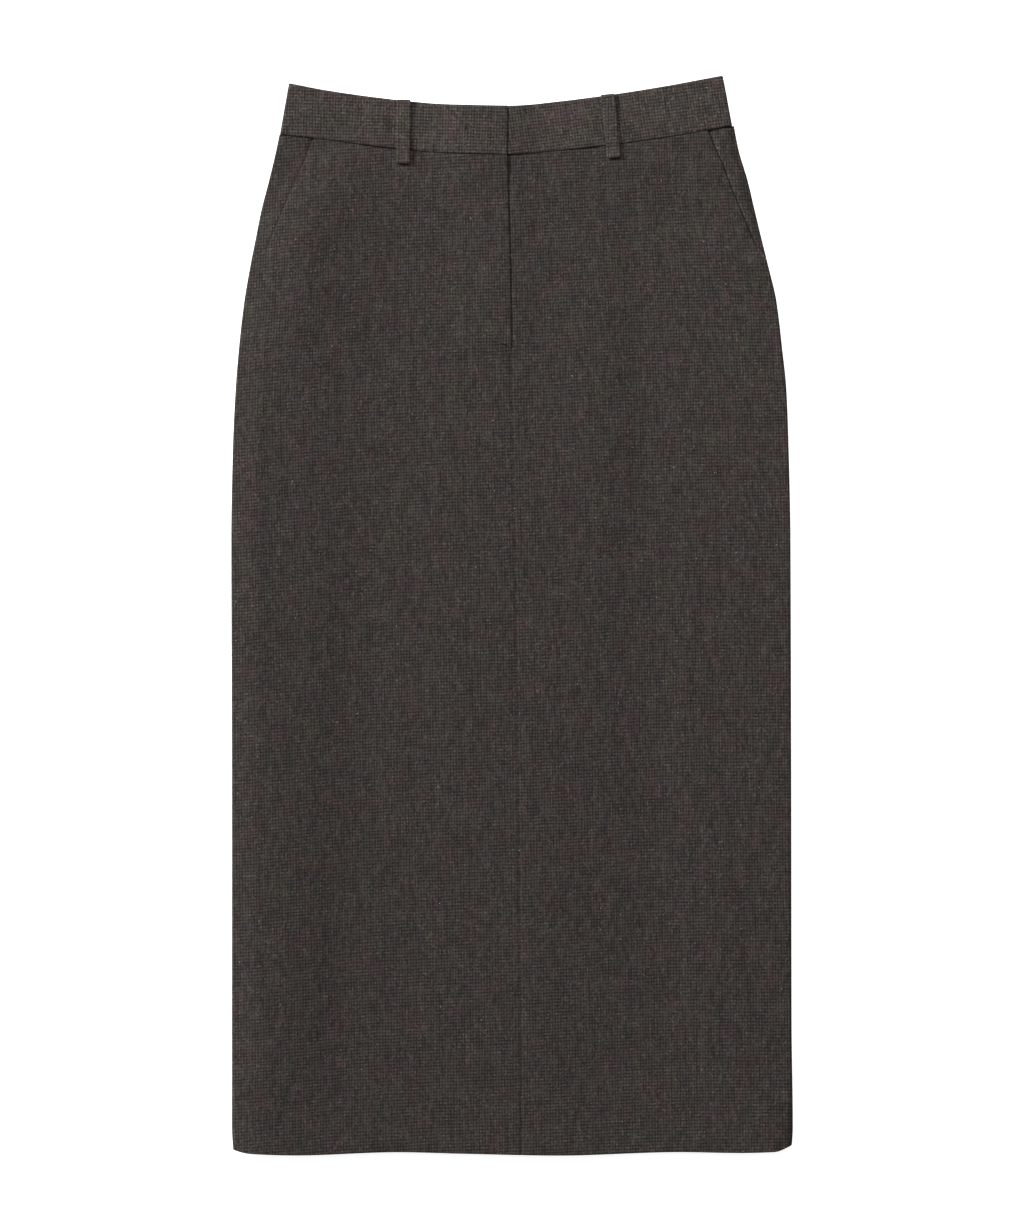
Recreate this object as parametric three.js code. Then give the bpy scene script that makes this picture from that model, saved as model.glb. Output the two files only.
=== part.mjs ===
// A long pencil skirt, laid flat on its back with the front up.
// Millimetres. +Z is up, +Y points to the waist and +X to the viewer's right when looking down.
// The underside lies on z = 0. Right and left are the wearer's, so the right front is at -X.
import * as THREE from "three";

// Cloth and seams
const CLOTH = 1.2; // one layer of the wool cloth
const BAND = 2.6; // the waistband: two layers of cloth and its stiffening
const SEAM_GAP = 0.3; // between two pieces that are sewn together, and between layers that touch
const LAYER = CLOTH + SEAM_GAP; // the step from one layer of cloth to the one that lies on it

// Belt loops: a strip with its ends turned under, that bows a little away from the front band
const LOOP = { width: 11, length: 52, cloth: 1, end: 7, bow: 0.4, round: 0.4 };

// Heights of the walls' middle surfaces above the floor. The skirt lies on its back panels
// and, at the waist, on the three belt loops of the back.
const BACK_LEVEL = CLOTH / 2;
const BACK_BAND_LEVEL = 2 * LOOP.cloth + SEAM_GAP + BAND / 2;
const BACK_WAIST_LEVEL = 3.1; // the back panels where they are sewn to the waistband
const FRONT_BAND_LEVEL = BACK_BAND_LEVEL + BAND + SEAM_GAP;
const WAIST_ROOM = 0.1; // a little more room between front and back there
const FRONT_WAIST_LEVEL = BACK_WAIST_LEVEL + LAYER + WAIST_ROOM; // the front at the same seam
const FRONT_SIDE_LEVEL = 4.05; // the front panels beside the side seams
const FRONT_HEM_LEVEL = 4.5;
const SIDE_SEAM_LEVEL = 2.4;
const SIDE_SEAM_WAIST_LEVEL = (BACK_WAIST_LEVEL + FRONT_WAIST_LEVEL) / 2;
const BAND_SEAM_LEVEL = (BACK_BAND_LEVEL + FRONT_BAND_LEVEL) / 2;

// Front of the skirt
const FLY_END = 224; // y where the fly closes into the centre seam
const FLY_UNDERLAP = 14; // how far the left front runs on under the right front
const BAND_UNDERLAP = 26;
const LAP_RAMP = 16; // length over which an upper layer climbs on to a lower one
const LAP_MARGIN = 4; // the climb ends this far before the lower layer's edge
const POCKET_SLANT = 0.417; // the mouth's run in x for each millimetre down
const POCKET_TOP = { right: -165.9, left: 166.5 }; // x of each mouth at the waist seam
const POCKET_TOP_Y = 393;
const POCKET_END = { right: 293, left: 297 }; // y where each mouth runs into the side seam
const POCKET_TURN = 12; // length over which its line turns out to the side there
const POCKET_UNDERLAP = 13; // how far the pocket facing runs on under the front
const HEM_DEPTH = 38; // the turned-up hem
const HEM_FADE = 5; // length over which the hem's second layer ends
const SLIT_TOP = -230; // y of the top of the walking slit in the centre back seam

// Stations along the waistband, from the right side seam to the left one:
// a point on its upper edge and the point on the waist seam below it
const WAIST = [
  { station: 0, topX: -185, topY: 441.5, seamX: -192.6, seamY: 398.8 },
  { station: 1, topX: -151, topY: 435, seamX: -155, seamY: 394.5 },
  { station: 2, topX: -91.3, topY: 427, seamX: -93, seamY: 386.4 },
  { station: 3, topX: -47.3, topY: 423.4, seamX: -47.6, seamY: 382.9 },
  { station: 4, topX: -3.3, topY: 422.5, seamX: -4, seamY: 381.7 },
  { station: 5, topX: 39.8, topY: 426.2, seamX: 42.3, seamY: 385.4 },
  { station: 6, topX: 79.7, topY: 431.3, seamX: 83.8, seamY: 390 },
  { station: 7, topX: 127, topY: 438.8, seamX: 132.8, seamY: 396.8 },
  { station: 8, topX: 175.5, topY: 447.8, seamX: 183.4, seamY: 405.9 },
];

const WAIST_HALF = 190; // half the waist, along the seam

// The outline of the skirt below the waistband: x of each side at a height y
const SIDES = [
  { y: -448, right: -230.7, left: 231.2 },
  { y: -425, right: -232, left: 232.6 },
  { y: -336, right: -232, left: 231.6 },
  { y: -137, right: -232, left: 231.3 },
  { y: 62, right: -232.6, left: 230.7 },
  { y: 137, right: -231.3, left: 229.2 },
  { y: 187, right: -229, left: 227.3 },
  { y: 224, right: -226, left: 223.5 },
  { y: 261, right: -221.7, left: 219 },
  { y: 286, right: -217.5, left: 213.3 },
  { y: 311, right: -212.5, left: 207 },
  { y: 336, right: -207.5, left: 201 },
  { y: 361, right: -201, left: 195 },
  { y: 386, right: -195, left: 187.5 },
  { y: 408, right: -190.6, left: 183.2 },
];

// The centre front line, which leans a little as the skirt lies
const CENTRE = [
  { y: -449, x: 8.2 },
  { y: -300, x: 7.3 },
  { y: -100, x: 5 },
  { y: 60, x: 2.8 },
  { y: 180, x: 0.2 },
  { y: 262, x: -0.8 },
  { y: 383, x: -3.8 },
];

// The lower edge, which waves slightly
const HEM = [
  { x: -232, y: -443 },
  { x: -217, y: -446.3 },
  { x: -176, y: -447.6 },
  { x: -93, y: -445 },
  { x: -43, y: -446.2 },
  { x: 40, y: -447.8 },
  { x: 139, y: -445 },
  { x: 189, y: -445.7 },
  { x: 217, y: -445 },
  { x: 232, y: -439.5 },
];

// Soft lengthwise folds of the front: x at the waist and at the hem, half width,
// and rise at the waist and low down. A negative rise is a trough.
const FOLDS = [
  { waistX: -150, hemX: -182, halfWidth: 26, waistRise: 0.2, lowRise: 1.0 },
  { waistX: -108, hemX: -120, halfWidth: 30, waistRise: -0.3, lowRise: -0.5 },
  { waistX: -45, hemX: -48, halfWidth: 34, waistRise: 0.3, lowRise: 0.5 },
  { waistX: 50, hemX: 54, halfWidth: 30, waistRise: 0.4, lowRise: 0.5 },
  { waistX: 95, hemX: 115, halfWidth: 30, waistRise: -0.5, lowRise: -0.5 },
  { waistX: 135, hemX: 176, halfWidth: 28, waistRise: 0.3, lowRise: 0.7 },
];
const FOLDS_FROM = 380; // y where the folds have their rise at the waist
const FOLDS_TO = 120; // y from which down they have their low rise
const SAG = 1.2; // the front sinks on to the back by this much between the sides
const SAG_WIDTH = 55; // within this distance of a side
const WAIST_EASE = { from: 16, length: 60 }; // the panels come down from the waistband here
const HEM_EASE = 60; // and up on to the doubled hem over this length

// Rows of the panels as shares of their length, closer at the waist, the fly's end and the hem
const PANEL_ROWS = [
  0, 0.006, 0.018, 0.034, 0.052, 0.07, 0.088, 0.103, 0.115, 0.128, 0.142, 0.158, 0.174, 0.187,
  0.197, 0.207, 0.222, 0.242, 0.27, 0.305, 0.35, 0.4, 0.46, 0.52, 0.58, 0.64, 0.7, 0.76, 0.81,
  0.86, 0.9, 0.935, 0.95, 0.957, 0.975, 1,
];
const BACK_ROWS = PANEL_ROWS.filter((row, i) => i % 2 === 0 || row > 0.9 || row < 0.02);
const FACING_ROWS = [0, 0.06, 0.18, 0.32, 0.47, 0.62, 0.76, 0.88, 1];
const BAND_ROWS = [0, 0.12, 0.5, 0.88, 1];

// Columns across the flat part of each wall, and round a curl
const FRONT_COLUMNS = 16;
const FACING_COLUMNS = 5;
const BACK_COLUMNS = 6;
const FRONT_BAND_COLUMNS = 16;
const BACK_BAND_COLUMNS = 24;
const ARC_COLUMNS = 4;

// Steps along a belt loop's face and along its inner side
const LOOP_FACE_STEPS = 14;
const LOOP_INNER_STEPS = 10;

const clamp01 = (t) => Math.min(1, Math.max(0, t));
const ease = (t) => clamp01(t) ** 2 * (3 - 2 * clamp01(t));
const mix = (a, b, t) => a + (b - a) * t;
const evenly = (count) => Array.from({ length: count + 1 }, (_, i) => i / count);

// A smooth curve through a table's rows: the value in `column` at a given value of `key`,
// with no overshoot between rows.
function through(rows, key, column) {
  const at = rows.map((row) => row[key]);
  const values = rows.map((row) => row[column]);
  const steps = at.slice(1).map((x, i) => (values[i + 1] - values[i]) / (x - at[i]));
  const slopes = at.map((_, i) => {
    if (i === 0) return steps[0];
    if (i === steps.length) return steps[i - 1];
    const product = steps[i - 1] * steps[i];
    return product <= 0 ? 0 : (2 * product) / (steps[i - 1] + steps[i]);
  });
  return (x) => {
    let i = 0;
    while (i < at.length - 2 && x > at[i + 1]) i += 1;
    const span = at[i + 1] - at[i];
    const t = clamp01((x - at[i]) / span);
    const rise = values[i + 1] - values[i];
    const start = slopes[i] * span;
    const end = slopes[i + 1] * span;
    return values[i] + t * (start + t * (3 * rise - 2 * start - end + t * (start + end - 2 * rise)));
  };
}

const topX = through(WAIST, "station", "topX");
const topY = through(WAIST, "topX", "topY");
const seamX = through(WAIST, "station", "seamX");
const seamY = through(WAIST, "seamX", "seamY");
const centreX = through(CENTRE, "y", "x");
const hemY = through(HEM, "x", "y");
const outline = { right: through(SIDES, "y", "right"), left: through(SIDES, "y", "left") };
const OUTWARD = { right: -1, left: 1 };

// The middle surface of a side's cloth, half a layer inside the outline
const sideX = (side, y) => outline[side](y) - (OUTWARD[side] * CLOTH) / 2;

// The slanted mouth of a hip pocket
function mouthX(side, y) {
  return POCKET_TOP[side] + OUTWARD[side] * POCKET_SLANT * (POCKET_TOP_Y - y);
}

// 0 at the waist seam and below the belt loops' ends, and 1 where the panels have come down
const downFromWaist = (x, y) => ease((seamY(x) - y - WAIST_EASE.from) / WAIST_EASE.length);

// Heights of the back's middle surface and of the side seams
const backLevel = (x, y) => mix(BACK_WAIST_LEVEL, BACK_LEVEL, downFromWaist(x, y));
const sideSeamLevel = (side, y) =>
  mix(SIDE_SEAM_WAIST_LEVEL, SIDE_SEAM_LEVEL, downFromWaist(sideX(side, y), y));

// Height of the front's middle surface where it is one layer
function frontLevel(x, y) {
  const fromWaist = downFromWaist(x, y);
  const toHem = ease((y - (hemY(x) + HEM_DEPTH)) / HEM_EASE);
  const inward = Math.min(x - sideX("right", y), sideX("left", y) - x);
  const lowness = ease((FOLDS_FROM - y) / (FOLDS_FROM - FOLDS_TO));
  const place = clamp01((FOLDS_FROM - y) / (FOLDS_FROM - HEM[0].y));
  let relief = -SAG * ease(inward / SAG_WIDTH);
  for (const fold of FOLDS) {
    const across = (x - mix(fold.waistX, fold.hemX, place)) / fold.halfWidth;
    const rise = mix(fold.waistRise, fold.lowRise, lowness);
    relief += rise * Math.exp(-across * across) * ease(inward / LAP_RAMP);
  }
  const base = mix(FRONT_HEM_LEVEL, mix(FRONT_WAIST_LEVEL, FRONT_SIDE_LEVEL, fromWaist), toHem);
  return base + relief * fromWaist * toHem;
}

// How far the right front stands over the left front along the fly
function flyLift(x, y) {
  const edge = centreX(y) - FLY_UNDERLAP - LAP_MARGIN;
  const across = ease((x - edge + LAP_RAMP) / LAP_RAMP);
  const down = ease((y - FLY_END + 2 * LAP_RAMP) / LAP_RAMP);
  const atBand = (BAND - CLOTH) * (1 - ease((seamY(x) - y) / (2 * LAP_RAMP)));
  return across * down * (LAYER + atBand);
}

// How far a front stands over the level of its pocket facing: by one layer along the mouth,
// and all along the waist seam
function mouthLift(side, x, y) {
  const inward = (mouthX(side, y) - x) * OUTWARD[side];
  const down = ease((y - POCKET_END[side] + LAP_RAMP) / (LAP_RAMP - LAP_MARGIN));
  const atMouth = (1 - ease((inward - POCKET_UNDERLAP - LAP_MARGIN) / LAP_RAMP)) * down;
  return LAYER * (1 - (1 - atMouth) * downFromWaist(x, y));
}

// Height of a front panel's middle surface
const frontPanelLevel = (side, x, y) =>
  frontLevel(x, y) + mouthLift(side, x, y) + (side === "right" ? flyLift(x, y) : 0);

// How much thicker a panel is inside for its turned-up hem
function hemLayer(x, y) {
  const inward = Math.min(x - sideX("right", y), sideX("left", y) - x);
  const up = y - hemY(x);
  return CLOTH * ease((HEM_DEPTH - up) / HEM_FADE) * ease((inward - HEM_FADE) / HEM_FADE);
}

// A closed wall from a grid of points on its middle surface. at(i, j) gives a point, the
// outward normal there, and the wall's depth on each side of the point.
function wall(rowCount, columnCount, at) {
  const positions = [];
  for (const sign of [1, -1]) {
    for (let i = 0; i < rowCount; i += 1) {
      for (let j = 0; j < columnCount; j += 1) {
        const { point, normal, outside, inside } = at(i, j);
        const moved = point.clone().addScaledVector(normal, sign > 0 ? outside : -inside);
        positions.push(moved.x, moved.y, moved.z);
      }
    }
  }
  const outer = (i, j) => i * columnCount + j;
  const inner = (i, j) => outer(i, j) + rowCount * columnCount;
  const triangles = [];
  const quad = (a, b, c, d) => triangles.push(a, b, c, a, c, d);
  for (let i = 0; i + 1 < rowCount; i += 1) {
    for (let j = 0; j + 1 < columnCount; j += 1) {
      quad(outer(i, j), outer(i + 1, j), outer(i + 1, j + 1), outer(i, j + 1));
      quad(inner(i, j), inner(i, j + 1), inner(i + 1, j + 1), inner(i + 1, j));
    }
    const last = columnCount - 1;
    quad(outer(i, 0), inner(i, 0), inner(i + 1, 0), outer(i + 1, 0));
    quad(outer(i, last), outer(i + 1, last), inner(i + 1, last), inner(i, last));
  }
  for (let j = 0; j + 1 < columnCount; j += 1) {
    const last = rowCount - 1;
    quad(outer(0, j), outer(0, j + 1), inner(0, j + 1), inner(0, j));
    quad(outer(last, j), inner(last, j), inner(last, j + 1), outer(last, j + 1));
  }
  const geometry = new THREE.BufferGeometry();
  geometry.setAttribute("position", new THREE.Float32BufferAttribute(positions, 3));
  geometry.setIndex(signedVolume(positions, triangles) < 0 ? triangles.reverse() : triangles);
  geometry.computeVertexNormals();
  return geometry;
}

function signedVolume(positions, triangles) {
  const corner = (n) => new THREE.Vector3().fromArray(positions, triangles[n] * 3);
  let sum = 0;
  for (let n = 0; n < triangles.length; n += 3) {
    sum += corner(n).dot(corner(n + 1).cross(corner(n + 2)));
  }
  return sum / 6;
}

// One point of a wall whose outer edge curls round to a side seam. share runs from 0 at the
// inner edge to 1 where the curl starts, and angle is how far round the curl the point is.
function curledPoint({ innerX, outerX, outward, up, radius, turn, share, angle, yAt, level }) {
  const length = (radius * Math.PI) / 2;
  const bend = Math.max(turn, 1e-3);
  const startX = outerX - (outward * length * Math.sin(bend)) / bend;
  const flatX = mix(innerX, startX, share);
  const x = flatX + (outward * length * Math.sin(angle * bend)) / bend;
  const y = yAt(share, flatX);
  const fall = (length * (1 - Math.cos(angle * bend))) / bend;
  const slopeX = (level(x + 1, y) - level(x - 1, y)) / 2;
  const slopeY = (level(x, y + 1) - level(x, y - 1)) / 2;
  const normal = new THREE.Vector3(-slopeX, -slopeY, 1).normalize().multiplyScalar(up);
  normal.multiplyScalar(Math.cos(angle * bend));
  normal.x += outward * Math.sin(angle * bend);
  return { point: new THREE.Vector3(x, y, level(x, y) - up * fall), normal: normal.normalize() };
}

// Columns of a wall: shares across its flat part, then steps round its curl
function columnsOf(flatCount) {
  const flat = evenly(flatCount).map((share) => ({ share, angle: 0 }));
  const arc = evenly(ARC_COLUMNS).slice(1).map((angle) => ({ share: 1, angle }));
  return [...flat, ...arc];
}

// A panel of the skirt between an inner edge and a side, from the waist seam to the hem or
// to its foot. turn(y) is how far its outer edge has curled down to the side seam.
function panel({ side, rows, flatCount, inner, outer, foot, up, radius, turn, level, hem }) {
  const columns = columnsOf(flatCount);
  const head = (x) => seamY(x) - SEAM_GAP;
  const topInner = inner(head(inner(POCKET_TOP_Y)));
  const topOuter = outer(head(outer(POCKET_TOP_Y)));
  const footInner = inner(foot(inner(foot(0))));
  const footOuter = outer(foot(outer(foot(0))));
  return wall(rows.length, columns.length, (i, j) => {
    const down = rows[i];
    const yInner = mix(head(topInner), foot(footInner), down);
    const yOuter = mix(head(topOuter), foot(footOuter), down);
    const yAt = (share) => {
      const headBow = head(mix(topInner, topOuter, share)) - mix(head(topInner), head(topOuter), share);
      const footBow = foot(mix(footInner, footOuter, share)) - mix(foot(footInner), foot(footOuter), share);
      return mix(yInner, yOuter, share) + mix(headBow, footBow, down);
    };
    const { point, normal } = curledPoint({
      innerX: inner(yInner),
      outerX: outer(yOuter),
      outward: OUTWARD[side],
      up,
      radius: radius(yOuter),
      turn: turn(yOuter),
      ...columns[j],
      yAt,
      level,
    });
    return { point, normal, outside: CLOTH / 2, inside: CLOTH / 2 + hem(point.x, point.y) };
  });
}

const QUARTER = Math.PI / 2;
const frontRadius = (side) => (y) =>
  frontLevel(sideX(side, y), y) - sideSeamLevel(side, y) - SEAM_GAP / 2;
const backRadius = (side) => (y) =>
  sideSeamLevel(side, y) - SEAM_GAP / 2 - backLevel(sideX(side, y), y);

function frontPanel(side) {
  const lapped = side === "left";
  const end = POCKET_END[side];
  const inner = (y) => {
    if (y <= FLY_END) return centreX(y) + (OUTWARD[side] * SEAM_GAP) / 2;
    return centreX(y) - (lapped ? FLY_UNDERLAP : 0);
  };
  return panel({
    side,
    rows: PANEL_ROWS,
    flatCount: FRONT_COLUMNS,
    inner,
    outer: (y) => mix(mouthX(side, y), sideX(side, y), ease((end + POCKET_TURN - y) / POCKET_TURN)),
    foot: hemY,
    up: 1,
    radius: frontRadius(side),
    turn: (y) => QUARTER * ease((end - LAP_MARGIN - y) / (LAP_RAMP - LAP_MARGIN)),
    level: (x, y) => frontPanelLevel(side, x, y),
    hem: hemLayer,
  });
}

function pocketFacing(side) {
  return panel({
    side,
    rows: FACING_ROWS,
    flatCount: FACING_COLUMNS,
    inner: (y) => mouthX(side, y) - OUTWARD[side] * POCKET_UNDERLAP,
    outer: (y) => sideX(side, y),
    foot: () => POCKET_END[side] + 1,
    up: 1,
    radius: frontRadius(side),
    turn: () => QUARTER,
    level: frontLevel,
    hem: () => 0,
  });
}

function backPanel(side) {
  return panel({
    side,
    rows: BACK_ROWS,
    flatCount: BACK_COLUMNS,
    inner: (y) => OUTWARD[side] * (y < SLIT_TOP ? SEAM_GAP : SEAM_GAP / 2),
    outer: (y) => sideX(side, y),
    foot: hemY,
    up: -1,
    radius: backRadius(side),
    turn: () => QUARTER,
    level: backLevel,
    hem: hemLayer,
  });
}

// A length of the waistband between two stations. Its outer ends curl down to the side seams.
function waistband({ from, to, count, curls, up, level }) {
  const radius = Math.abs(BAND_SEAM_LEVEL - level(topX(curls[0]), 0)) - SEAM_GAP / 2;
  const quarter = radius * QUARTER;
  const columns = evenly(count).map((t) => ({ station: mix(from, to, t), angle: 0, outward: 0 }));
  for (const station of curls) {
    const outward = station === 0 ? -1 : 1;
    const arc = evenly(ARC_COLUMNS).slice(1).map((angle) => ({ station, angle, outward }));
    if (station === from) columns.unshift(...arc.reverse());
    else columns.push(...arc);
  }
  const inset = (x) => x * (1 - (radius + BAND / 2) / WAIST_HALF);
  return wall(BAND_ROWS.length, columns.length, (i, j) => {
    const { station, angle, outward } = columns[j];
    const upper = new THREE.Vector2(topX(station), topY(topX(station)));
    const lower = new THREE.Vector2(seamX(station), seamY(seamX(station)));
    const x = inset(mix(upper.x, lower.x, BAND_ROWS[i]));
    const y = mix(upper.y, lower.y, BAND_ROWS[i]);
    const turned = angle * QUARTER;
    const across = outward * Math.sin(turned);
    const fall = (quarter / QUARTER) * (1 - Math.cos(turned));
    const slope = (level(x + 1, y) - level(x - 1, y)) / 2;
    const normal = new THREE.Vector3(across - slope * Math.cos(turned), 0, up * Math.cos(turned));
    const point = new THREE.Vector3(x + across * radius, y, level(x, y) - up * fall);
    return { point, normal: normal.normalize(), outside: BAND / 2, inside: BAND / 2 };
  });
}

// How far the right end of the waistband stands over the left end
function bandLift(x) {
  const edge = WAIST[4].seamX - BAND_UNDERLAP - LAP_MARGIN;
  return (BAND + SEAM_GAP) * ease((x - edge + 2 * LAP_RAMP) / (2 * LAP_RAMP));
}

const underlapStation = WAIST[4].station - BAND_UNDERLAP / (WAIST[4].topX - WAIST[3].topX);

const bandFrontRight = () =>
  waistband({
    from: 0,
    to: WAIST[4].station,
    count: FRONT_BAND_COLUMNS,
    curls: [0],
    up: 1,
    level: (x) => FRONT_BAND_LEVEL + bandLift(x),
  });

const bandFrontLeft = () =>
  waistband({
    from: underlapStation,
    to: 8,
    count: FRONT_BAND_COLUMNS,
    curls: [8],
    up: 1,
    level: () => FRONT_BAND_LEVEL,
  });

const bandBack = () =>
  waistband({
    from: 0,
    to: 8,
    count: BACK_BAND_COLUMNS,
    curls: [0, 8],
    up: -1,
    level: () => BACK_BAND_LEVEL,
  });

// A belt loop, drawn from the side: along is measured down from its upper end, and its ends
// lie on the waistband at one height and on the panel below at another. out is 1 for a loop
// on the front and -1 for one on the back.
function beltLoop({ onBand, onPanel, out, bow }) {
  const faceAt = (along) => {
    const step = ease((along - (LOOP.length - 2 * LOOP.end)) / LOOP.end);
    const bowed = bow * Math.sin((Math.PI * along) / LOOP.length);
    return mix(onBand, onPanel, step) + out * (2 * LOOP.cloth + bowed);
  };
  const corner = out * LOOP.round;
  const face = evenly(LOOP_FACE_STEPS).map((t) => mix(LOOP.round, LOOP.length - LOOP.round, t));
  const inner = evenly(LOOP_INNER_STEPS).map((t) => mix(LOOP.length - LOOP.end, LOOP.end, t));
  const points = [
    [0, onBand + corner],
    [0, faceAt(0) - corner],
    ...face.map((along) => [along, faceAt(along)]),
    [LOOP.length, faceAt(LOOP.length) - corner],
    [LOOP.length, onPanel + corner],
    [LOOP.length - LOOP.round, onPanel],
    [LOOP.length - LOOP.end, onPanel],
    ...inner.map((along) => [along, faceAt(along) - out * LOOP.cloth]),
    [LOOP.end, onBand],
    [LOOP.round, onBand],
  ];
  const profile = new THREE.Shape(points.map(([along, z]) => new THREE.Vector2(-along, z)));
  const geometry = new THREE.ExtrudeGeometry(profile, { depth: LOOP.width, bevelEnabled: false });
  geometry.translate(0, 0, -LOOP.width / 2);
  const alongY = new THREE.Vector3(0, 1, 0);
  const upward = new THREE.Vector3(0, 0, 1);
  const acrossX = new THREE.Vector3(1, 0, 0);
  return geometry.applyMatrix4(new THREE.Matrix4().makeBasis(alongY, upward, acrossX));
}

function frontLoop(side, x, lowerEnd) {
  return beltLoop({
    onBand: FRONT_BAND_LEVEL + BAND / 2 + SEAM_GAP,
    onPanel: frontPanelLevel(side, x, lowerEnd) + CLOTH / 2 + SEAM_GAP,
    out: 1,
    bow: LOOP.bow,
  });
}

const backLoop = () => beltLoop({ onBand: 2 * LOOP.cloth, onPanel: 2 * LOOP.cloth, out: -1, bow: 0 });

// Mean colour of the check, as sRGB shares, and how much lighter or darker some pieces look
const CHECK = [0.243, 0.224, 0.214];
const SHADE = { facing: 0.92, back: 0.96, bandRight: 1.06, bandLeft: 1.04, loop: 1.1 };

function wool(shade) {
  const [red, green, blue] = CHECK.map((share) => share * shade);
  const color = new THREE.Color().setRGB(red, green, blue, THREE.SRGBColorSpace);
  return new THREE.MeshStandardMaterial({ color, roughness: 0.9, metalness: 0 });
}

const skirt = new THREE.Group();

function add(name, geometry, shade = 1) {
  const mesh = new THREE.Mesh(geometry, wool(shade));
  mesh.name = name;
  skirt.add(mesh);
  return mesh;
}

for (const side of ["right", "left"]) {
  add(`front_${side}`, frontPanel(side));
  add(`pocket_facing_${side}`, pocketFacing(side), SHADE.facing);
  add(`back_${side}`, backPanel(side), SHADE.back);
}
add("waistband_front_right", bandFrontRight(), SHADE.bandRight);
add("waistband_front_left", bandFrontLeft(), SHADE.bandLeft);
add("waistband_back", bandBack());

const LOOPS = [
  { name: "belt_loop_front_right", station: 2.06, front: "right" },
  { name: "belt_loop_front_left", station: 6, front: "left" },
  { name: "belt_loop_back_right", station: 1.6 },
  { name: "belt_loop_back_centre", station: 4.1 },
  { name: "belt_loop_back_left", station: 6.6 },
];
for (const { name, station, front } of LOOPS) {
  const x = topX(station);
  const y = topY(x);
  const below = seamX(station);
  const loop = add(name, front ? frontLoop(front, x, y - LOOP.length) : backLoop(), SHADE.loop);
  loop.position.set(x, y, 0);
  loop.rotation.z = Math.atan2(below - x, y - seamY(below));
}

export default skirt;
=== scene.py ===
"""A long pencil skirt in dark wool with a very small woven check, laid flat with its front up.

Lengths are in millimetres up to the point where a mesh is made. +Y points to the waist, +Z is
up and the floor is at z = 0. Right and left are the wearer's, so the right front is at -X.
"""
import math

import bpy
import numpy as np
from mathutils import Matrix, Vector

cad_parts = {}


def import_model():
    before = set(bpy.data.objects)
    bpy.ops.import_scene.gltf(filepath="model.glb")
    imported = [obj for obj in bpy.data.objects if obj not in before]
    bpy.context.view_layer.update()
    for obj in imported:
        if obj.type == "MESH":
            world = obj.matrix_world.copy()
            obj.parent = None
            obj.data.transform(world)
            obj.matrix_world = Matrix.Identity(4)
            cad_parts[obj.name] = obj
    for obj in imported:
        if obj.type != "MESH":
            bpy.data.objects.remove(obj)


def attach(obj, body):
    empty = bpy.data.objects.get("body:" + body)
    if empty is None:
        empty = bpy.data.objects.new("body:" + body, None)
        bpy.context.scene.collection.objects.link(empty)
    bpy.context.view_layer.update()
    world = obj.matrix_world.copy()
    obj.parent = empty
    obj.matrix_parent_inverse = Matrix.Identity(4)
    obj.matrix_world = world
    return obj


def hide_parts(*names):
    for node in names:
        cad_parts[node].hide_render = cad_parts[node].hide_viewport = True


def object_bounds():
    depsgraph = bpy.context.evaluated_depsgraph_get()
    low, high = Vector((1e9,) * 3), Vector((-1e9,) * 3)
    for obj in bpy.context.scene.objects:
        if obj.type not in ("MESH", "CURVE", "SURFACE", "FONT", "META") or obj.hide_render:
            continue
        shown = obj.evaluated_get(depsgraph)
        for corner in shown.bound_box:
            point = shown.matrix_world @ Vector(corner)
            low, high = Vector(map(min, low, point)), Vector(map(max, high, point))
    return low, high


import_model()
cad_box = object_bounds()

MM = 0.001

# Cloth, seams and layers, as in the solids
CLOTH = 1.2
BAND = 2.6
SEAM_GAP = 0.3
LAYER = CLOTH + SEAM_GAP
LOOP_WIDTH, LOOP_LENGTH, LOOP_CLOTH, LOOP_END = 11, 52, 1, 7

# Heights of the middle surfaces above the floor
BACK_LEVEL = CLOTH / 2
BACK_BAND_LEVEL = 2 * LOOP_CLOTH + SEAM_GAP + BAND / 2
BACK_WAIST_LEVEL = 3.1
FRONT_BAND_LEVEL = BACK_BAND_LEVEL + BAND + SEAM_GAP
FRONT_WAIST_LEVEL = BACK_WAIST_LEVEL + LAYER + 0.1
FRONT_SIDE_LEVEL = 3.1
FRONT_HEM_LEVEL = 4.5
SIDE_SEAM_LEVEL = 1.85
SIDE_SEAM_WAIST_LEVEL = (BACK_WAIST_LEVEL + FRONT_WAIST_LEVEL) / 2
BAND_SEAM_LEVEL = (BACK_BAND_LEVEL + FRONT_BAND_LEVEL) / 2

# Front of the skirt
FLY_END = 224
FLY_UNDERLAP = 14
BAND_UNDERLAP = 26
LAP_RAMP = 16
SOFT_RAMP = 42  # width over which the upper layer of a lap comes down again
FLY_DROP = 12  # length over which the step of the fly comes down to the seam below it
LAP_MARGIN = 4
POCKET_SLANT = 0.417
POCKET_TOP = {"right": -165.1, "left": 166.5}
POCKET_TOP_Y = 393
POCKET_END = {"right": 293, "left": 297}
POCKET_TURN = 12
POCKET_UNDERLAP = 13
HEM_DEPTH = 38
HEM_FADE = 5
SLIT_TOP = -230
HALF_WIDTH = 232
BACK_CENTRE = -2  # x of the centre back seam
OUTWARD = {"right": -1, "left": 1}
SIDE_SWELL = {"right": 0, "left": 0.75}  # how far the thin curled edges swell past the outline

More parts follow.
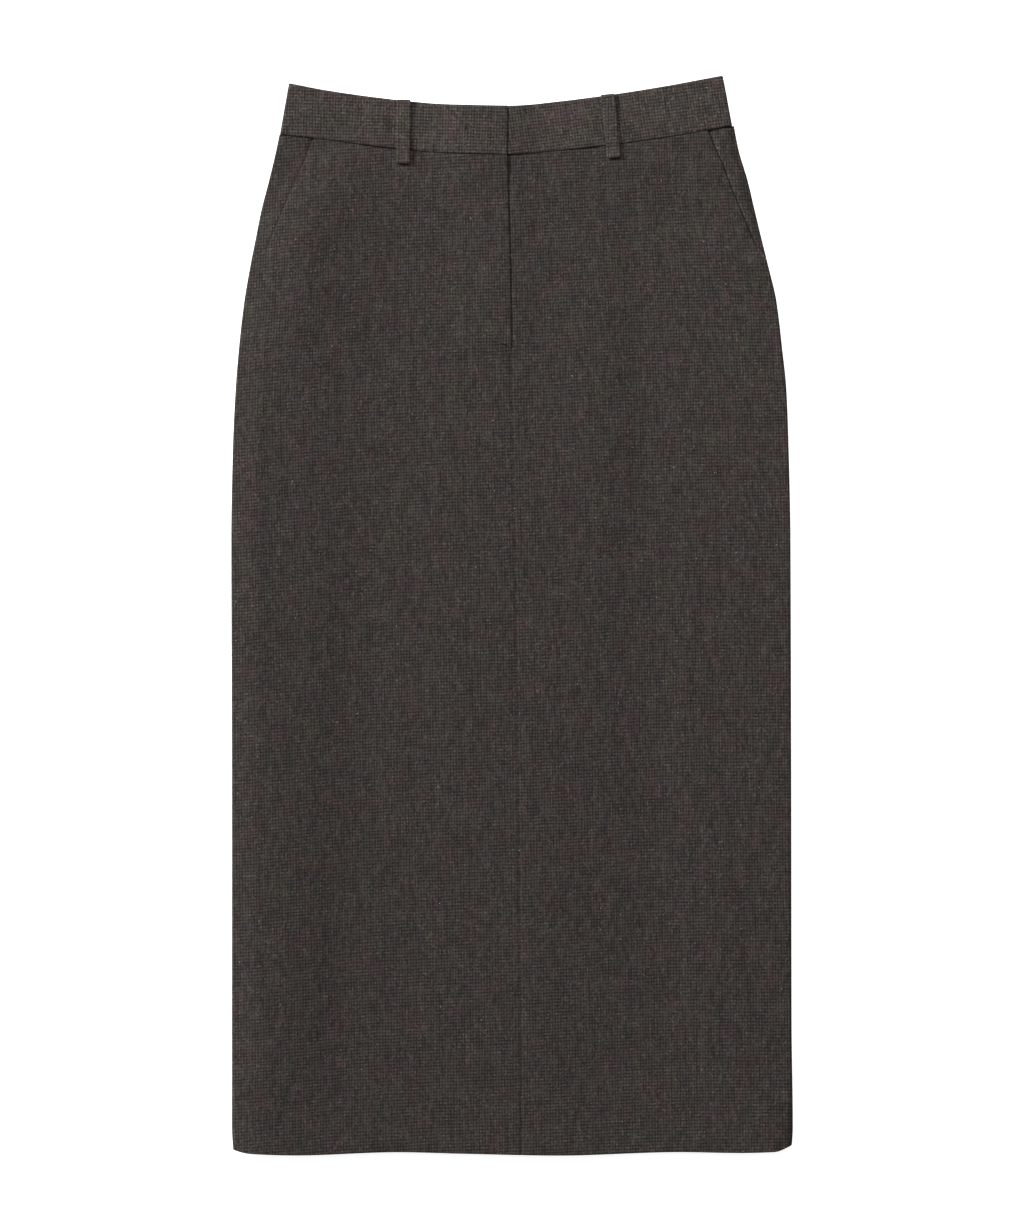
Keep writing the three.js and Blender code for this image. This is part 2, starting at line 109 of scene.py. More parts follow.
# Stations along the waistband: a point on its upper edge and the point on the seam below it
WAIST = [
    {"station": 0, "top_x": -185, "top_y": 441.5, "seam_x": -192.6, "seam_y": 398.8},
    {"station": 1, "top_x": -151, "top_y": 435, "seam_x": -155, "seam_y": 394.5},
    {"station": 2, "top_x": -91.3, "top_y": 427, "seam_x": -93, "seam_y": 386.4},
    {"station": 3, "top_x": -47.3, "top_y": 423.4, "seam_x": -47.6, "seam_y": 382.9},
    {"station": 4, "top_x": -3.3, "top_y": 422.5, "seam_x": -4, "seam_y": 381.7},
    {"station": 5, "top_x": 39.8, "top_y": 426.2, "seam_x": 42.3, "seam_y": 385.4},
    {"station": 6, "top_x": 79.7, "top_y": 431.3, "seam_x": 83.8, "seam_y": 390},
    {"station": 7, "top_x": 127, "top_y": 438.8, "seam_x": 132.8, "seam_y": 396.8},
    {"station": 8, "top_x": 175.5, "top_y": 447.8, "seam_x": 183.4, "seam_y": 405.9},
]

# x of each side at a height y
SIDES = [
    {"y": -448, "right": -230.7, "left": 231.2},
    {"y": -425, "right": -232, "left": 232.6},
    {"y": -336, "right": -232, "left": 231.6},
    {"y": -137, "right": -232, "left": 231.3},
    {"y": 62, "right": -232.6, "left": 230.7},
    {"y": 137, "right": -231.3, "left": 229.2},
    {"y": 187, "right": -229, "left": 227.3},
    {"y": 224, "right": -226, "left": 223.5},
    {"y": 261, "right": -221.7, "left": 219},
    {"y": 286, "right": -217.5, "left": 213.3},
    {"y": 311, "right": -212.5, "left": 207},
    {"y": 336, "right": -207.5, "left": 201},
    {"y": 361, "right": -201, "left": 195},
    {"y": 386, "right": -195, "left": 187.5},
    {"y": 408, "right": -190.6, "left": 183.2},
]

CENTRE = [
    {"y": -449, "x": 8.2},
    {"y": -300, "x": 7.3},
    {"y": -100, "x": 5},
    {"y": 60, "x": 2.8},
    {"y": 180, "x": 0.2},
    {"y": 262, "x": -0.8},
    {"y": 383, "x": -3.8},
]

HEM = [
    {"x": -232, "y": -443.7},
    {"x": -217, "y": -447},
    {"x": -176, "y": -448.3},
    {"x": -93, "y": -445.7},
    {"x": -43, "y": -446.9},
    {"x": 40, "y": -448.5},
    {"x": 139, "y": -445.7},
    {"x": 189, "y": -446.4},
    {"x": 217, "y": -445.7},
    {"x": 232, "y": -440.2},
]

# Soft lengthwise folds of the front: x at the waist and at the hem, half widths towards -X and
# +X, and the rise at each of FOLD_HEIGHTS. A negative rise is a trough.
FOLD_HEIGHTS = [370, 200, -20, -240, -440]
FOLDS = [
    {"waist_x": -165, "hem_x": -199, "wide_in": 16, "wide_out": 60, "rises": [1.5, 1.0, 0.1, 0.8, 0.8]},
    {"waist_x": -112, "hem_x": -140, "wide_in": 30, "wide_out": 34, "rises": [0.1, -0.4, -1.9, -2.0, -1.0]},
    {"waist_x": -84, "hem_x": -84, "wide_in": 30, "wide_out": 34, "rises": [0.5, 0.4, -0.9, -1.2, -0.4]},
    {"waist_x": -45, "hem_x": -42, "wide_in": 30, "wide_out": 26, "rises": [0.0, 0.45, 0.4, -0.2, -0.1]},
    {"waist_x": -12, "hem_x": -6, "wide_in": 20, "wide_out": 22, "rises": [0.3, 0.55, 0.3, 0.0, 0.0]},
    {"waist_x": 28, "hem_x": 28, "wide_in": 24, "wide_out": 30, "rises": [0.1, 0.2, 0.5, 0.8, 0.3]},
    {"waist_x": 70, "hem_x": 84, "wide_in": 26, "wide_out": 26, "rises": [0.5, 1.1, 0.3, -0.1, -0.5]},
    {"waist_x": 104, "hem_x": 128, "wide_in": 26, "wide_out": 26, "rises": [-0.5, -1.3, -1.3, -1.0, -0.4]},
    {"waist_x": 150, "hem_x": 186, "wide_in": 30, "wide_out": 34, "rises": [-0.4, -0.6, -0.5, 0.2, 0.5]},
]
# The cloth rolls up from the right side over ROLL_WIDTH and comes down slowly to the left side
ROLL = 3.3
ROLL_WIDTH = 24
WAIST_EASE_FROM, WAIST_EASE = 16, 60
HEM_EASE = 34
HEM_LIFT = {"right": 1.1, "left": 1.9}  # the doubled hem stands up a little towards its edge


def ease(t):
    t = np.clip(t, 0, 1)
    return t * t * (3 - 2 * t)


def mix(a, b, t):
    return a + (b - a) * t


def through(rows, key, column):
    """A smooth curve through a table's rows, with no overshoot between them."""
    at = np.array([row[key] for row in rows], float)
    values = np.array([row[column] for row in rows], float)
    span = np.diff(at)
    steps = np.diff(values) / span
    product = steps[:-1] * steps[1:]
    total = np.where(product > 0, steps[:-1] + steps[1:], 1)
    inner = np.where(product > 0, 2 * product / total, 0)
    slopes = np.concatenate([steps[:1], inner, steps[-1:]])

    def value(x):
        i = np.clip(np.searchsorted(at, x) - 1, 0, len(span) - 1)
        t = np.clip((x - at[i]) / span[i], 0, 1)
        rise = values[i + 1] - values[i]
        start, end = slopes[i] * span[i], slopes[i + 1] * span[i]
        bend = 3 * rise - 2 * start - end + t * (start + end - 2 * rise)
        return values[i] + t * (start + t * bend)

    return value


top_x = through(WAIST, "station", "top_x")
top_y = through(WAIST, "top_x", "top_y")
seam_x = through(WAIST, "station", "seam_x")
seam_y = through(WAIST, "seam_x", "seam_y")
centre_x = through(CENTRE, "y", "x")
hem_y = through(HEM, "x", "y")
outline = {side: through(SIDES, "y", side) for side in OUTWARD}
FOLD_RISES = [
    through([{"y": -y, "rise": r} for y, r in zip(FOLD_HEIGHTS, fold["rises"])], "y", "rise")
    for fold in FOLDS
]


def ripple(x, y, across, along, seed):
    """Smooth random unevenness from -1 to 1, with bumps of about that size across and along."""
    count = 64
    lattice = np.random.default_rng(seed).uniform(-1, 1, (count, count))
    u, v = np.broadcast_arrays(x / across + count / 2, y / along + count / 2)
    i, j = np.floor(u).astype(int), np.floor(v).astype(int)
    s, t = ease(u - i), ease(v - j)
    corner = [[lattice[(i + a) % count, (j + b) % count] for b in (0, 1)] for a in (0, 1)]
    return mix(mix(corner[0][0], corner[1][0], s), mix(corner[0][1], corner[1][1], s), t)


# Height that one row of the weave climbs to at x, and how much the yarns fan out at the hips
ROWS = [
    {"x": -232, "rise": -14.7},
    {"x": -190, "rise": -10.8},
    {"x": -126, "rise": -5.8},
    {"x": -68, "rise": -2.7},
    {"x": 0, "rise": 0},
    {"x": 48, "rise": 2.2},
    {"x": 106, "rise": 5},
    {"x": 156, "rise": 6.6},
    {"x": 232, "rise": 7.2},
]
FAN = 0.05
FAN_FROM, FAN_TO = 150, 400
row_rise = through(ROWS, "x", "rise")


def grain(x, y):
    """Place of a point of the front or back along the weave's own rows and columns."""
    fanned = 1 + FAN * ease((y - FAN_FROM) / (FAN_TO - FAN_FROM))
    return (x - centre_x(y)) * fanned, y - row_rise(x)


def side_x(side, y):
    return outline[side](y) + OUTWARD[side] * SIDE_SWELL[side]


def mouth_x(side, y):
    straight = POCKET_TOP[side] + OUTWARD[side] * POCKET_SLANT * (POCKET_TOP_Y - y)
    return straight + 0.35 * ripple(0 * y, y, 30, 9, 45) + 0.15 * ripple(0 * y, y, 30, 3, 46)


def inward_of(x, y):
    return np.minimum(x - side_x("right", y), side_x("left", y) - x)


def down_from_waist(x, y):
    return ease((seam_y(x) - y - WAIST_EASE_FROM) / WAIST_EASE)


def back_level(x, y):
    return mix(BACK_WAIST_LEVEL, BACK_LEVEL, down_from_waist(x, y))


def side_seam_level(side, y):
    return mix(SIDE_SEAM_WAIST_LEVEL, SIDE_SEAM_LEVEL, down_from_waist(side_x(side, y), y))


def folds(x, y):
    """Height of the front's lengthwise folds."""
    waist, hem = FOLD_HEIGHTS[0], FOLD_HEIGHTS[-1]
    place = np.clip((waist - y) / (waist - hem), 0, 1)
    height = 0
    for fold, rise in zip(FOLDS, FOLD_RISES):
        across = x - mix(fold["waist_x"], fold["hem_x"], place)
        across = across / np.where(across < 0, fold["wide_in"], fold["wide_out"])
        height = height + rise(-y) * np.exp(-across * across)
    return height


def roll(x, y):
    """Height that the cloth gains as it rolls up from the right side."""
    right, left = side_x("right", y), side_x("left", y)
    t = np.clip((x - right) / ROLL_WIDTH, 0, 1)
    return ROLL * mix(ease(t), t * (2 - t), 0.5) * (left - x) / (left - right)


def front_level(x, y):
    """Height of the front's middle surface where it is one layer."""
    from_waist = down_from_waist(x, y)
    up = y - hem_y(x)
    to_hem = ease((up - HEM_DEPTH) / HEM_EASE)
    inward = inward_of(x, y)
    relief = folds(x, y) * ease(inward / LAP_RAMP)
    lift = mix(HEM_LIFT["right"], HEM_LIFT["left"], 0.5 + x / (2 * HALF_WIDTH))
    hem = FRONT_HEM_LEVEL + lift * ease((HEM_DEPTH - up) / HEM_DEPTH) * ease(inward / LAP_RAMP)
    base = mix(hem, mix(FRONT_WAIST_LEVEL, FRONT_SIDE_LEVEL, from_waist), to_hem)
    return base + relief * from_waist * mix(0.5, 1, to_hem) + roll(x, y) * from_waist * mix(0.6, 1, to_hem)


def band_lift(x):
    """Height that the right end of the waistband gains over the left end under it."""
    edge = WAIST[4]["seam_x"] - BAND_UNDERLAP - LAP_MARGIN
    return (BAND + SEAM_GAP) * ease((x - edge + SOFT_RAMP) / SOFT_RAMP)


def fly_step(y):
    return LAYER * ease((y - FLY_END + FLY_DROP - 1) / FLY_DROP)


def fly_lift(x, y):
    """Height that the right front gains over the left front under its fly."""
    edge = centre_x(y) - FLY_UNDERLAP - LAP_MARGIN
    across = ease((x - edge + SOFT_RAMP) / SOFT_RAMP)
    at_band = 1 - ease((seam_y(x) - y) / (2 * LAP_RAMP))
    return mix(across * fly_step(y), band_lift(x), at_band)


def mouth_lift(side, x, y):
    inward = (mouth_x(side, y) - x) * OUTWARD[side]
    down = ease((y - POCKET_END[side] + LAP_RAMP) / (LAP_RAMP - LAP_MARGIN))
    at_mouth = (1 - ease((inward - POCKET_UNDERLAP - LAP_MARGIN) / SOFT_RAMP)) * down
    return LAYER * (1 - (1 - at_mouth) * down_from_waist(x, y))


# Finer creases of the front, each from one point to another: half width and rise
CREASES = [
    {"x0": -178, "y0": 352, "x1": -196, "y1": 268, "wide": 9, "rise": 0.35},
    {"x0": -150, "y0": 372, "x1": -168, "y1": 250, "wide": 11, "rise": -0.3},
    {"x0": -118, "y0": 366, "x1": -132, "y1": 214, "wide": 12, "rise": 0.28},
    {"x0": -66, "y0": 374, "x1": -58, "y1": 262, "wide": 10, "rise": 0.25},
    {"x0": -34, "y0": 350, "x1": -26, "y1": 236, "wide": 8, "rise": -0.22},
    {"x0": 18, "y0": 366, "x1": 22, "y1": 240, "wide": 9, "rise": 0.25},
    {"x0": 62, "y0": 372, "x1": 70, "y1": 190, "wide": 12, "rise": -0.35},
    {"x0": 108, "y0": 380, "x1": 122, "y1": 262, "wide": 10, "rise": 0.3},
    {"x0": 148, "y0": 378, "x1": 176, "y1": 268, "wide": 11, "rise": 0.3},
    {"x0": -206, "y0": 214, "x1": -212, "y1": 20, "wide": 12, "rise": 0.35},
    {"x0": -182, "y0": 120, "x1": -188, "y1": -120, "wide": 14, "rise": -0.3},
    {"x0": -96, "y0": 60, "x1": -92, "y1": -210, "wide": 14, "rise": 0.35},
    {"x0": 13, "y0": 30, "x1": 16, "y1": -330, "wide": 5, "rise": 0.22},
    {"x0": -120, "y0": 440, "x1": -200, "y1": 170, "wide": 24, "rise": 2.4},
    {"x0": -88, "y0": 440, "x1": -160, "y1": 170, "wide": 34, "rise": 0.8},
    {"x0": -152, "y0": 420, "x1": -200, "y1": 190, "wide": 14, "rise": 0.55},
    {"x0": 88, "y0": 150, "x1": 96, "y1": -190, "wide": 12, "rise": -0.35},
    {"x0": 140, "y0": 96, "x1": 146, "y1": -250, "wide": 12, "rise": 0.35},
    {"x0": 206, "y0": 150, "x1": 214, "y1": -60, "wide": 10, "rise": -0.25},
    {"x0": -150, "y0": -190, "x1": -144, "y1": -372, "wide": 12, "rise": -0.3},
    {"x0": -38, "y0": -150, "x1": -30, "y1": -372, "wide": 12, "rise": -0.25},
    {"x0": 68, "y0": -214, "x1": 74, "y1": -380, "wide": 11, "rise": 0.25},
    {"x0": 196, "y0": -170, "x1": 204, "y1": -372, "wide": 12, "rise": -0.3},
]


# Places where the back lifts a little from the floor
BACK_CREASES = [
    {"x0": -190, "y0": 262, "x1": -176, "y1": 60, "wide": 16, "rise": 0.5},
    {"x0": -120, "y0": 40, "x1": -132, "y1": -230, "wide": 18, "rise": 0.45},
    {"x0": -62, "y0": 250, "x1": -54, "y1": 20, "wide": 14, "rise": 0.4},
    {"x0": 70, "y0": 180, "x1": 84, "y1": -60, "wide": 16, "rise": 0.45},
    {"x0": 150, "y0": 240, "x1": 176, "y1": -20, "wide": 17, "rise": 0.55},
    {"x0": 118, "y0": -120, "x1": 108, "y1": -340, "wide": 15, "rise": 0.4},
    {"x0": -186, "y0": -110, "x1": -196, "y1": -350, "wide": 13, "rise": 0.4},
]


def creases(x, y, table=CREASES):
    height = 0
    for crease in table:
        along_x, along_y = crease["x1"] - crease["x0"], crease["y1"] - crease["y0"]
        length = math.hypot(along_x, along_y)
        t = ((x - crease["x0"]) * along_x + (y - crease["y0"]) * along_y) / length**2
        off = ((x - crease["x0"]) * along_y - (y - crease["y0"]) * along_x) / length / crease["wide"]
        fade = ease(t / 0.3) * ease((1 - t) / 0.4)
        height = height + crease["rise"] * fade * np.exp(-off * off)
    return height


def unevenness(x, y, seed):
    """Slight waves of cloth that isn't pressed quite flat."""
    return 0.1 * ripple(x, y, 34, 60, seed) + 0.045 * ripple(x, y, 13, 19, seed + 1)


def pucker(distance, y, seed):
    """Small gathers that the stitching draws in along a seam."""
    waves = ripple(np.zeros_like(y), y, 30, 6.5, seed)
    return 0.09 * waves * np.exp(-((distance / 6) ** 2))


def groove(distance, wide, deep):
    return -deep * np.exp(-((distance / wide) ** 2))


def beside_lap(distance, rise, ramp=1.4):
    """The lower layer of a lap comes up again just beyond the edge that lies over it."""
    return rise * ease((distance - 0.6) / ramp) * (1 - ease((distance - 1.6 - ramp) / 24))


def front_panel_level(side, x, y):
    """Height of a front panel's middle surface, with its creases."""
    level = front_level(x, y) + mouth_lift(side, x, y)
    inward = inward_of(x, y)
    calm = ease(inward / 12) * ease((seam_y(x) - y) / 20) * ease((y - hem_y(x)) / 40)
    level = level + (creases(x, y) + unevenness(x, y, 11)) * calm
    centre = x - centre_x(y)
    below_fly = ease((FLY_END + 2 - y) / 6)
    opened = mix(mix(0.17, 0.24, ease(-y / 120)), 0.32, ease((SEAM_OPENS - y) / 12))
    seam = pucker(centre, y, 31 if side == "right" else 32)
    seam = seam + groove(centre, 2.2, 0.85 * opened) + groove(centre, 0.6, 0.4 * opened)
    level = level + seam * below_fly
    hem_line = y - hem_y(x) - HEM_DEPTH - 4
    level = level + groove(hem_line, 2.2, 0.2) * ease(inward / 10)
    if side == "right":
        return level + fly_lift(x, y)
    from_end = ease((y - FLY_END) / 60)
    beside = beside_lap(centre, mix(1.3, 0.9, from_end), mix(2.6, 1.8, from_end))
    beside = beside + groove(centre - 0.5, 0.7, 0.2 * from_end)
    joined = fly_step(y) * (1 - ease(centre / 24)) * ease((FLY_END + 1 - y) / 4)
    at_seam = 0.35 * (1 - ease((seam_y(x) - y) / 14))
    return level + beside * (1 - below_fly) + joined + at_seam


# How far each facing comes up beside its mouth, over which length, and the furrow along the mouth
FACING_RISE = {"right": 0.3, "left": 1.3}
FACING_RAMP = {"right": 3.6, "left": 3.6}
FURROW = {"right": 0.2, "left": 0.03}
FACING_LEAD = 1.6  # how far under the mouth that rise begins


def facing_level(side, x, y):
    """Height of a pocket facing, which drops a little along the mouth over it."""
    outside = (x - mouth_x(side, y)) * OUTWARD[side]
    waves = 1 + 0.6 * ripple(0 * y, y, 30, 3.2, 41)
    lower = ease((POCKET_TOP_Y - 30 - y) / 50)
    rise = FACING_RISE[side] * (1 - 0.15 * lower)
    furrow = groove(outside - 0.7, 0.8, 0.03 + FURROW[side] * lower) * waves
    beside = beside_lap(outside + FACING_LEAD, rise, FACING_RAMP[side]) + furrow
    at_seam = 1.0 * ease(outside / 6) * (1 - ease((seam_y(x) - y) / 26))
    return front_level(x, y) + (beside * ease((seam_y(x) - y) / 12) + at_seam) * ease(inward_of(x, y) / 6)


def hem_layer(x, y):
    return CLOTH * ease((HEM_DEPTH - (y - hem_y(x))) / HEM_FADE) * ease((inward_of(x, y) - 5) / 5)


def spread(length, step, fine=None):
    """Distances from 0 to length, closer together near both ends and round a fine place."""
    near = np.array(NEAR_EDGE)
    count = max(2, int(round((length - 2 * near[-1]) / step)))
    middle = np.linspace(near[-1], length - near[-1], count + 1)
    places = np.concatenate([near[:-1], middle, length - near[:-1][::-1]])
    if fine:
        at, reach, close = fine
        added = np.arange(at - reach, at + reach + close / 2, close)
        places = np.concatenate([places[np.abs(places - at) > reach + close / 2], added])
    return np.sort(places)


def rim(distance, radius, least):
    """How much of a wall's half thickness is left at a distance from its rounded edge."""
    t = np.clip(distance / radius, 0, 1)
    return least + (1 - least) * np.sqrt(np.maximum(0, 1 - (1 - t) ** 2))


NEAR_EDGE = [0, 0.12, 0.35, 0.7, 1.15, 1.8, 2.8]
# Rim radius and least share of each kind of edge
FOLDED, SEWN, OPEN = (0.9, 0.12), (1.5, 0.42), (0.4, 0.5)
MOUTH = {"right": (2.4, 0.22), "left": (2, 0.5)}
SEAM_OPENS = -404  # y below which the centre seam shows as a groove


def grid_quads(index):
    return np.stack([index[:-1, :-1], index[1:, :-1], index[1:, 1:], index[:-1, 1:]], -1).reshape(-1, 4)


OUTER_SHARE, INNER_FROM, INNER_TO, RIM_FROM, RIM_TO = 0.93, 0.94, 0.965, 0.975, 0.995


def layout(mid, quads_outer, quads_inner, rim_count):
    """Where each quad's corners lie on a unit square: the outer face in strips, then the rest."""
    rows, columns = mid.shape[:2]
    steps_down = np.linalg.norm(np.diff(mid, axis=0), axis=-1).mean(1)
    steps_across = np.linalg.norm(np.diff(mid, axis=1), axis=-1).mean(0)
    down = np.concatenate([[0], np.cumsum(steps_down)])
    across = np.concatenate([[0], np.cumsum(steps_across)])
    tall = down[-1] > across[-1]
    long, short = (down, across) if tall else (across, down)
    strips = max(1, int(round(math.sqrt(long[-1] / short[-1] / OUTER_SHARE))))
    strip = np.minimum((strips * (long[:-1] + long[1:]) / 2 / long[-1]).astype(int), strips - 1)
    row, column = quads_outer // columns, quads_outer % columns
    at_long, at_short = (row, column) if tall else (column, row)
    mine = strip[at_long.min(1)][:, None]
    first = np.array([np.argmax(strip == k) for k in range(strips)])
    last = np.append(first[1:], len(long) - 1)
    start, end = long[first[mine]], long[last[mine]]
    u = OUTER_SHARE * (mine + 0.01 + 0.97 * short[at_short] / short[-1]) / strips
    v = 0.003 + 0.994 * (long[at_long] - start) / (end - start)
    outer = np.stack([u, v], -1)
    row, column = quads_inner // columns, quads_inner % columns
    at_long, at_short = (row, column) if tall else (column, row)
    u = mix(INNER_FROM, INNER_TO, short[at_short] / short[-1])
    inner = np.stack([u, 0.003 + 0.994 * long[at_long] / long[-1]], -1)
    begin = np.arange(rim_count) / rim_count
    v = np.stack([begin, begin + 1 / rim_count, begin + 1 / rim_count, begin], -1)
    u = np.broadcast_to([RIM_FROM, RIM_FROM, RIM_TO, RIM_TO], v.shape)
    return np.concatenate([outer, inner, np.stack([u, v], -1)])


def closed_shell(name, mid, normal, outside, inside, weave):
    """A closed thin shell round a grid of points, with its weave coordinates in millimetres."""
    rows, columns = mid.shape[:2]
    outer = mid + normal * outside[..., None]
    inner = mid - normal * inside[..., None]
    points = np.concatenate([outer.reshape(-1, 3), inner.reshape(-1, 3)])
    index = np.arange(rows * columns).reshape(rows, columns)
    below = index + rows * columns
    around = np.concatenate([index[0, :-1], index[:-1, -1], index[-1, :0:-1], index[:0:-1, 0]])
    beside = np.roll(around, -1)
    edge = np.stack([around, beside, beside + rows * columns, around + rows * columns], -1)
    quads = np.concatenate([grid_quads(index), grid_quads(below)[:, ::-1], edge])
    flat = layout(mid, grid_quads(index), grid_quads(index)[:, ::-1], len(edge))
    a, b, c, d = (points[quads[:, k]] for k in range(4))
    volume = (a * np.cross(b, c)).sum() + (a * np.cross(c, d)).sum()
    if volume < 0:
        quads, flat = quads[:, ::-1], flat[:, ::-1]
    mesh = bpy.data.meshes.new(name)
    mesh.from_pydata([], [], [])
    mesh.vertices.add(len(points))
    mesh.vertices.foreach_set("co", (points * MM).ravel())
    mesh.loops.add(quads.size)
    mesh.loops.foreach_set("vertex_index", quads.ravel())
    mesh.polygons.add(len(quads))
    mesh.polygons.foreach_set("loop_start", np.arange(0, quads.size, 4))
    mesh.update(calc_edges=True)
    mesh.polygons.foreach_set("use_smooth", np.ones(len(quads), bool))
    mesh.set_sharp_from_angle(angle=math.radians(60))
    both = np.concatenate([weave.reshape(-1, 2)] * 2)
    both = np.concatenate([both, np.zeros((len(both), 1))], 1)
    attribute = mesh.attributes.new("weave", "FLOAT_VECTOR", "POINT")
    attribute.data.foreach_set("vector", both.astype(np.float32).ravel())
    charts = mesh.uv_layers.new(name="OFBake")
    charts.data.foreach_set("uv", flat.astype(np.float32).ravel())
    mesh.validate()
    piece = bpy.data.objects.new(name, mesh)
    bpy.context.scene.collection.objects.link(piece)
    return piece


def panel(name, side, inner, outer, head, foot, up, radius, turn, level, edges, inside, step, fine):
    """A panel between an inner edge and a side, whose outer edge curls round to the side seam."""
    outward = OUTWARD[side]
    mid_y = (POCKET_TOP_Y + hem_y(0)) / 2
    length = float(head(0) - foot(0))
    width = float(abs(outer(np.array(mid_y)) - inner(np.array(mid_y))))
    down = spread(length, step[1], (length - HEM_DEPTH - 4, 5, 1))[:, None] / length
    share = spread(width, step[0], fine)[None, :] / width
    x = mix(inner(mid_y), outer(mid_y), share) + 0 * down
    for _ in range(6):
        y = mix(head(x), foot(x), down)
        x = mix(inner(y), outer(y), share)
    bend = np.maximum(turn(y) * math.pi / 2, 1e-3)
    arc = radius(y) * math.pi / 2
    reach = arc * np.sin(bend) / bend
    flat = np.abs(outer(y) - inner(y)) - reach
    along = share * (flat + arc)
    round_it = np.clip((along - flat) / arc, 0, 1) * bend
    flat_x = inner(y) + outward * np.minimum(along, flat)
    x = flat_x + outward * arc * np.sin(round_it) / bend
    z = level(x, y) - up * arc * (1 - np.cos(round_it)) / bend
    tiny = 0.5
    slope_x = (level(flat_x + tiny, y) - level(flat_x - tiny, y)) / (2 * tiny)
    slope_y = (level(flat_x, y + tiny) - level(flat_x, y - tiny)) / (2 * tiny)
    normal = np.stack([-slope_x, -slope_y, np.ones_like(x)], -1)
    normal = up * normal / np.linalg.norm(normal, axis=-1, keepdims=True)
    normal = normal * np.cos(round_it)[..., None]
    normal[..., 0] += outward * np.sin(round_it)
    normal /= np.linalg.norm(normal, axis=-1, keepdims=True)
    from_head, from_foot = down * length, (1 - down) * length
    from_inner, from_outer = along, flat + arc - along
    curled = np.clip((along - flat) / arc, 0, 1)
    shape = np.minimum(
        np.minimum(mix(rim(from_head, *edges["head"]), 1, 0.8 * curled), rim(from_foot, *edges["foot"])),
        np.minimum(rim(from_inner, *edges["inner"](y)), rim(from_outer, *edges["outer"])),
    )
    grain_x, grain_y = grain(flat_x, y)
    weave = np.stack([grain_x + outward * np.maximum(0, along - flat), grain_y], -1)
    mid = np.stack([x, y, z], -1)
    return closed_shell(name, mid, normal, CLOTH / 2 * shape, (CLOTH / 2 + inside(x, y)) * shape, weave)


def front_radius(side):
    return lambda y: front_level(side_x(side, y), y) - side_seam_level(side, y) - SEAM_GAP / 4


def back_radius(side):
    return lambda y: side_seam_level(side, y) - SEAM_GAP / 4 - back_level(side_x(side, y), y)


def quarter_turn(y):
    return np.ones_like(y)


def no_layer(x, y):
    return 0 * x


def centre_edge(y):
    """Rim of a front panel's inner edge: folded at the fly, almost flush at the seam below it."""
    at_fly = ease((y - FLY_END) / 4)
    opened = ease((SEAM_OPENS - y) / 12)
    uneven = 0.07 * ripple(0 * y, y, 30, 5, 51)
    folded = mix(0.4, 0.2, ease((y - FLY_END) / 60))
    least = mix(mix(0.86 + uneven, 0.4, opened), folded, at_fly)
    return mix(1.0, 0.7, at_fly), least


def front_panel(side):
    outward = OUTWARD[side]
    end = POCKET_END[side]

    def inner(y):
        meeting = centre_x(y) + outward * SEAM_GAP / 8
        lap = FLY_UNDERLAP * ease((y - FLY_END - 1) / 4) if side == "left" else 0
        return meeting - lap

    def outer(y):
        return mix(mouth_x(side, y), side_x(side, y), ease((end + POCKET_TURN - y) / POCKET_TURN))

    return panel(
        f"front_{side}_cloth",
        side,
        inner,
        outer,
        head=lambda x: seam_y(x) - 0.05,
        foot=hem_y,
        up=1,
        radius=front_radius(side),
        turn=lambda y: ease((end - LAP_MARGIN - y) / (LAP_RAMP - LAP_MARGIN)),
        level=lambda x, y: front_panel_level(side, x, y),
        edges={"head": SEWN, "foot": FOLDED, "inner": centre_edge, "outer": MOUTH[side]},
        inside=hem_layer,
        step=(3.2, 3.6),
        fine=(FLY_UNDERLAP, 4, 0.5) if side == "left" else None,
    )


def pocket_facing(side):
    end = POCKET_END[side]
    return panel(
        f"pocket_facing_{side}_cloth",
        side,
        inner=lambda y: mouth_x(side, y) - OUTWARD[side] * POCKET_UNDERLAP,
        outer=lambda y: side_x(side, y),
        head=lambda x: seam_y(x) - 0.05,
        foot=lambda x: end + 1 + 0 * x,
        up=1,
        radius=front_radius(side),
        turn=quarter_turn,
        level=lambda x, y: facing_level(side, x, y),
        edges={"head": SEWN, "foot": OPEN, "inner": lambda y: OPEN, "outer": FOLDED},
        inside=no_layer,
        step=(2, 2),
        fine=(POCKET_UNDERLAP + 1, 3.5, 0.5),
    )


def back_panel(side):
    def level(x, y):
        calm = ease(inward_of(x, y) / 12) * ease(np.abs(x - BACK_CENTRE) / 16)
        return back_level(x, y) + creases(x, y, BACK_CREASES) * calm

    return panel(
        f"back_{side}_cloth",
        side,
        inner=lambda y: BACK_CENTRE + OUTWARD[side] * np.where(y < SLIT_TOP, SEAM_GAP, SEAM_GAP / 8),
        outer=lambda y: side_x(side, y),
        head=lambda x: seam_y(x) - 0.05,
        foot=hem_y,
        up=-1,
        radius=back_radius(side),
        turn=quarter_turn,
        level=level,
        edges={"head": SEWN, "foot": FOLDED, "inner": lambda y: SEWN, "outer": FOLDED},
        inside=hem_layer,
        step=(5, 6),
        fine=None,
    )


BAND_TOP, BAND_SEAM, BAND_END = (1.5, 0.08), (1.7, 0.16), (1.0, 0.15)
WAIST_HALF = 190  # half the waist along the seam
BAND_EDGE = WAIST[4]["seam_x"]  # x of the end of the band that laps over


def no_press(x):
    return 1


def pressed_end(x):
    """The end of the band that laps over is pressed thinner."""
    return 1 - 0.25 * ease((x - BAND_EDGE + 15) / 12)


# The band swells a little on the right of each front loop, which draws it down
LOOP_X = {"right": -90.7, "left": 81.8}
SWELL, SWELL_LONG, SWELL_END = 0.75, 34, 9.5


def beside_loop(x, loop_x):
    crest = loop_x - LOOP_WIDTH / 2 - SWELL_END
    return SWELL * ease((x - crest + SWELL_LONG) / SWELL_LONG) * (1 - ease((x - crest) / SWELL_END))


